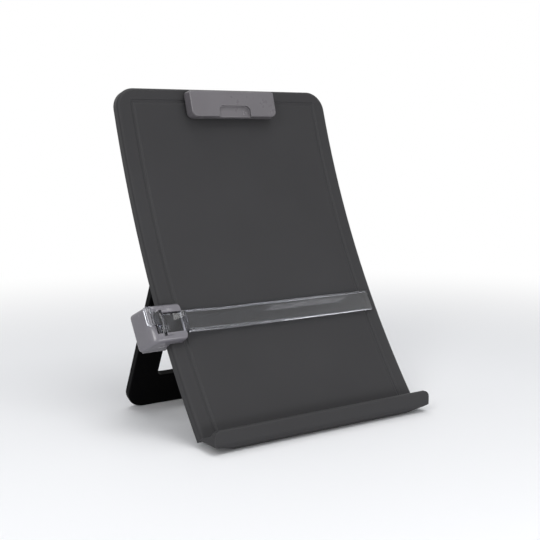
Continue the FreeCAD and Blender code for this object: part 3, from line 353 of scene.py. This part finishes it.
# %% Rubber
rubber, tree, shader = new_finish("matt_rubber")
where = place_of(tree)
bloom = noise(tree, where, 70.0, 5.0, 0.6)
uneven_colour(tree, shader, bloom,
              (0.35, (0.010, 0.010, 0.010, 1)),
              (0.75, (0.030, 0.030, 0.031, 1)))
uneven_gloss(tree, shader, bloom, (0.3, 0.70), (0.7, 0.86))
pores = noise(tree, where, 1100.0, 3.0)
grain_bump(tree, shader, soft_normals(tree, 0.0004), pores, 0.00008, 0.4)

# %% [markdown]
# ## Which finish goes where
# Each solid takes the finish of its own material.
# The names on the left are the part's own pieces.

# %% Dress the solids
FINISHES = {
    "board_panel": charcoal, "ledge": charcoal, "stand_leg": black,
    "hinge_pins": black, "clip_cover": clip_grey, "clip_base": clip_grey,
    "slider_housing": slider_grey, "slider_cover": slider_grey,
    "slider_shoe": slider_grey, "line_guide": clear, "ledge_pads": rubber,
    "leg_feet": rubber, "clip_grip": rubber, "ledge_screws": steel,
    "clip_screws": steel, "clip_pin": steel, "clip_spring": steel,
    "slider_screws": steel, "slider_leaf": steel, "guide_pin": dark_steel,
}
for name, finish in FINISHES.items():
    mesh = nodes[name].data
    mesh.materials.clear()
    mesh.materials.append(finish)
print("dressed", len(FINISHES), "of", len(nodes), "solids")

# %% [markdown]
# ## Working copies
# The solids themselves stay as they are. Where a piece needs a softer shape,
# its mesh is copied, its loose triangles are merged and joined into plain
# faces, and the copy is worked on and stands in the solid's place.

# %% Copy a solid to work on
MERGE_WITHIN = 0.000002
FLAT_WITHIN = math.radians(0.5)


def pick(piece):
    bpy.ops.object.select_all(action="DESELECT")
    piece.select_set(True)
    bpy.context.view_layer.objects.active = piece


def working_copy(node_name, piece_name, body):
    piece = bpy.data.objects.new(piece_name, nodes[node_name].data.copy())
    bpy.context.scene.collection.objects.link(piece)
    pick(piece)
    bpy.ops.object.mode_set(mode="EDIT")
    bpy.ops.mesh.select_all(action="SELECT")
    bpy.ops.mesh.remove_doubles(threshold=MERGE_WITHIN)
    bpy.ops.mesh.dissolve_limited(angle_limit=FLAT_WITHIN)
    bpy.ops.object.mode_set(mode="OBJECT")
    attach(piece, body)
    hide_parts(node_name)
    return piece


def apply(piece, kind, **values):
    pick(piece)
    change = piece.modifiers.new("change", kind)
    for word, value in values.items():
        setattr(change, word, value)
    bpy.ops.object.modifier_apply(modifier="change")


def count_faces(piece):
    print(piece.name, "has", len(piece.data.polygons), "faces")


print("working copies can be made")

# %% [markdown]
# ## The clear guide with rounded edges
# Clear plastic shows every one of its edges, and razor-sharp ones would
# glitter like cut glass. The mould has a small radius everywhere.
# A shader can't bend light through a rounded edge, so here the radius is
# real: a Bevel modifier rounds each edge by a tenth of a millimetre.

# %% Round the guide's edges
GUIDE_RADIUS = 0.00010

guide_piece = working_copy("line_guide", "clear_guide", "guide")
apply(guide_piece, "BEVEL", width=GUIDE_RADIUS, segments=2,
      limit_method="ANGLE", angle_limit=math.radians(35))
bpy.ops.object.shade_smooth_by_angle(angle=math.radians(40))
count_faces(guide_piece)

# %% [markdown]
# ## The soft shoulder of the slider
# The slider is held between thumb and finger, so its shoulder is a large,
# soft round that runs out into smaller rounds at both ends.
# Bevelling the shell's own edges would fail at its slots and notches.
# A mould maker first makes the block's outer form and then hollows it,
# and here that outer form is made as a solid of its own, in three steps.
# The first is to say where things are on the slider. Its board is an arc,
# so a point is given across, behind the board's front, and along the arc.

# %% Measure along the board's arc
ARC_RADIUS = 0.8326
FOOT = (0.028, 0.0365)
LEAN = math.radians(35.95)
CENTRE = Vector((0, FOOT[0] - ARC_RADIUS*math.cos(LEAN),
                 FOOT[1] + ARC_RADIUS*math.sin(LEAN)))
SLIDER_ALONG = 0.072
SLIDER_LONG = 0.0345


def at_slider(x, depth, along):
    turn = LEAN - (SLIDER_ALONG + along)/ARC_RADIUS
    reach = ARC_RADIUS + depth
    return CENTRE + Vector((x, reach*math.cos(turn), -reach*math.sin(turn)))


def along_slider(point):
    turn = math.atan2(-(point.z - CENTRE.z), point.y - CENTRE.y)
    return (LEAN - turn)*ARC_RADIUS - SLIDER_ALONG


def depth_of(point):
    return math.hypot(point.y - CENTRE.y, point.z - CENTRE.z) - ARC_RADIUS


print("the slider's middle is at", at_slider(0, 0, 0))

# %% [markdown]
# ## The slider's section
# Cut across, the slider is a block with a large round at its front
# and a smaller one behind. A plane has four corners to begin with:
# each goes to its place, and bevelling a corner's vertex rounds it.
# The form stands off the shell's flat faces by a skim of two hundredths
# of a millimetre, so that no two faces lie in each other.

# %% Draw the section
SKIM = 0.00002
INNER_X, FRONT_X, BACK_X = -0.102, -0.138, -0.14516
FRONT, BACK = -0.009 - SKIM, 0.01522
FRONT_CORNER = (FRONT_X, FRONT)
BACK_CORNER = (BACK_X, BACK)
SECTION = [(INNER_X, FRONT), FRONT_CORNER, BACK_CORNER, (INNER_X, BACK)]
PLANE_ORDER = (0, 1, 3, 2)
ROUNDS = ((BACK_CORNER, 0.0056), (FRONT_CORNER, 0.0075))
LOW_END = -SLIDER_LONG/2 - SKIM

bpy.ops.object.select_all(action="DESELECT")
bpy.ops.mesh.primitive_plane_add(size=0.03)
outer_form = bpy.context.active_object
for corner, (x, depth) in zip(PLANE_ORDER, SECTION):
    outer_form.data.vertices[corner].co = at_slider(x, depth, LOW_END)
bpy.ops.object.mode_set(mode="EDIT")
bpy.ops.mesh.select_all(action="DESELECT")
bpy.ops.object.mode_set(mode="OBJECT")
for corner, offset in ROUNDS:
    target = at_slider(*corner, LOW_END)
    nearest = min(outer_form.data.vertices,
                  key=lambda vertex: (vertex.co - target).length)
    nearest.select = True
    bpy.ops.object.mode_set(mode="EDIT")
    bpy.ops.mesh.select_mode(type="VERT")
    bpy.ops.mesh.bevel(affect="VERTICES", offset=offset, segments=12)
    bpy.ops.mesh.select_all(action="DESELECT")
    bpy.ops.object.mode_set(mode="OBJECT")
print("the section has", len(outer_form.data.vertices), "corners")

# %% [markdown]
# ## The slider's length
# A straight extrusion would leave the curved rim at both ends.
# Spin turns the section about the centre of the board's arc instead,
# so the form bends as the rim does.

# %% Spin the section along the rim
bpy.ops.object.mode_set(mode="EDIT")
bpy.ops.mesh.select_all(action="SELECT")
bpy.ops.mesh.spin(steps=8, angle=-(SLIDER_LONG + 2*SKIM)/ARC_RADIUS,
                  center=CENTRE, axis=(1, 0, 0))
bpy.ops.mesh.select_all(action="SELECT")
bpy.ops.mesh.normals_make_consistent(inside=False)
bpy.ops.mesh.select_all(action="DESELECT")
bpy.ops.object.mode_set(mode="OBJECT")

reach = [along_slider(vertex.co)*1000 for vertex in outer_form.data.vertices]
print("the form runs from", round(min(reach), 2), "to", round(max(reach), 2))

# %% [markdown]
# ## The slider's two ends
# Top and bottom, the shoulder rolls over into the end faces.
# The edges there are picked by their place: at an end, on the outer side,
# and not along the back, where the cover closes flat.
# One wide bevel then rounds them all together, round the corners too.

# %% Round the two ends
END_ROUND = 0.0034
AT_END_WITHIN = 0.0002
OUTER_SIDE_X = -0.11
NEARLY_BACK = 0.0151

for edge in outer_form.data.edges:
    ends = [outer_form.data.vertices[i].co for i in edge.vertices]
    at_end = all(abs(abs(along_slider(end)) - SLIDER_LONG/2) < AT_END_WITHIN
                 for end in ends)
    outer = min(end.x for end in ends) < OUTER_SIDE_X
    at_back = all(depth_of(end) > NEARLY_BACK for end in ends)
    edge.select = at_end and outer and not at_back
bpy.ops.object.mode_set(mode="EDIT")
bpy.ops.mesh.select_mode(type="EDGE")
bpy.ops.mesh.bevel(offset=END_ROUND, segments=8, affect="EDGES")
bpy.ops.object.mode_set(mode="OBJECT")
print("the outer form has", len(outer_form.data.polygons), "faces")

# %% [markdown]
# ## Shell and cover
# The shell and its back cover share one outside, so both are cut
# with the same form. A Boolean modifier keeps what the piece and the form
# have in common: the outside gets the soft shoulder, and the slots,
# the notched seat and the screws' holes stay as they were.

# %% Cut the shell and its cover to the form
for node_name, piece_name in (("slider_housing", "slider_shell"),
                              ("slider_cover", "slider_back")):
    piece = working_copy(node_name, piece_name, "slider")
    apply(piece, "BOOLEAN", operation="INTERSECT", solver="EXACT",
          object=outer_form)
    bpy.ops.object.shade_smooth_by_angle(angle=math.radians(32))
    count_faces(piece)
bpy.data.objects.remove(outer_form)

# %% [markdown]
# ## Floor and light
# A product picture wants a pale floor with a soft shadow and no horizon.
# More light on a grey floor would whiten it, but would bleach the holder too.
# So both the floor and the world ask what kind of ray meets them:
# the camera, and anything glossy or clear, sees plain white far out,
# while the light that falls on the holder stays as it is.


# %% Tell what is seen directly
def direct_look(tree):
    # One where the camera looks, straight or by way of gloss or glass.
    rays = add_node(tree, "LightPath")
    total = add_node(tree, "Math", operation="ADD")
    join(tree, rays, "Is Camera Ray", total, 0)
    join(tree, rays, "Is Transmission Ray", total, 1)
    either = add_node(tree, "Math", operation="ADD", use_clamp=True)
    join(tree, total, "Value", either, 0)
    join(tree, rays, "Is Glossy Ray", either, 1)
    return either


def mix_by(tree, share, plain, other, output):
    # The share goes from the first shader to the second.
    mix = add_node(tree, "MixShader")
    join(tree, share, "Value", mix, "Fac")
    join(tree, plain, 0, mix, 1)
    join(tree, other, 0, mix, 2)
    join(tree, mix, "Shader", tree.nodes[output], "Surface")


print("helpers for the backdrop are ready")

# %% [markdown]
# ## The floor
# The floor is one large plane. Near the holder it is a matt, pale surface
# that keeps the shadow, and from a third of a metre outwards the camera
# sees it fade to plain white.

# %% Lay the floor
FLOOR_WIDE = 16
FADE_BEGINS, FADE_ENDS = 0.35, 1.1

bpy.ops.object.select_all(action="DESELECT")
bpy.ops.mesh.primitive_plane_add(size=FLOOR_WIDE, location=(0, 0, 0))
floor = bpy.context.active_object
floor.name = "floor"
floor_finish, tree, shader = new_finish("floor_white")
shader.inputs["Base Color"].default_value = (0.86, 0.86, 0.87, 1)
shader.inputs["Roughness"].default_value = 0.7
spread = add_node(tree, "VectorMath", operation="LENGTH")
join(tree, place_of(tree), "Object", spread, 0)
far = add_node(tree, "MapRange", interpolation_type="SMOOTHSTEP",
               from_min=FADE_BEGINS, from_max=FADE_ENDS)
join(tree, spread, "Value", far, "Value")
seen_far = add_node(tree, "Math", operation="MULTIPLY")
join(tree, direct_look(tree), "Value", seen_far, 0)
join(tree, far, "Result", seen_far, 1)
white = add_node(tree, "Emission")
mix_by(tree, seen_far, shader, white, "Material Output")
floor.data.materials.append(floor_finish)
print("the floor is", FLOOR_WIDE, "m wide")

# %% [markdown]
# ## The room
# The world gives an even, faintly cool light from all round,
# as the white walls of a studio do.

# %% Light the room
ROOM_COLOUR = (0.93, 0.96, 1.0, 1)
ROOM_STRENGTH = 0.40

world = bpy.data.worlds.new("studio")
bpy.context.scene.world = world
world.use_nodes = True
tree = world.node_tree
even = tree.nodes["Background"]
even.inputs["Color"].default_value = ROOM_COLOUR
even.inputs["Strength"].default_value = ROOM_STRENGTH
plain = add_node(tree, "Background")
plain.inputs["Color"].default_value = grey(1)
plain.inputs["Strength"].default_value = 1.0
mix_by(tree, direct_look(tree), even, plain, "World Output")
print("the room's light is", ROOM_STRENGTH)

# %% [markdown]
# ## The lamps
# Four soft boxes model the form: a broad one above and in front,
# a tall narrow one at the left, whose reflection is the bright bar
# on the slider's shoulder, a large faint one overhead, and a low wide one
# that fills the front of the ledge.

# %% Hang the lamps
HOLDER_MIDDLE = (0, 0.06, 0.15)
SLIDER_SIDE = (-0.135, 0.06, 0.09)
LEDGE_FRONT = (0, 0, 0.02)
# Name, place, what it looks at, width, height in metres, and watts.
SOFT_BOXES = (
    ("key", (0.10, -0.6, 1.9), HOLDER_MIDDLE, 1.0, 1.0, 11),
    ("side", (-1.05, -0.55, 0.85), SLIDER_SIDE, 0.36, 1.0, 7),
    ("overhead", (0, 0.5, 1.8), HOLDER_MIDDLE, 1.2, 1.2, 7),
    ("low", (0.05, -0.75, 0.05), LEDGE_FRONT, 0.9, 0.25, 4.5),
)

for name, place, target, wide, tall, power in SOFT_BOXES:
    lamp_data = bpy.data.lights.new(name, "AREA")
    lamp_data.shape = "RECTANGLE"
    lamp_data.size = wide
    lamp_data.size_y = tall
    lamp_data.energy = power
    lamp = bpy.data.objects.new(name, lamp_data)
    bpy.context.scene.collection.objects.link(lamp)
    lamp.location = place
    lamp.visible_camera = False
    away = Vector(place) - Vector(target)
    lamp.rotation_euler = away.to_track_quat("Z", "Y").to_euler()
print(len(SOFT_BOXES), "soft boxes hang round the holder")

# %% [markdown]
# ## Finish
# The picture is shown plainly, with no film look.

# %% Finish
bpy.context.scene.view_settings.view_transform = "Standard"
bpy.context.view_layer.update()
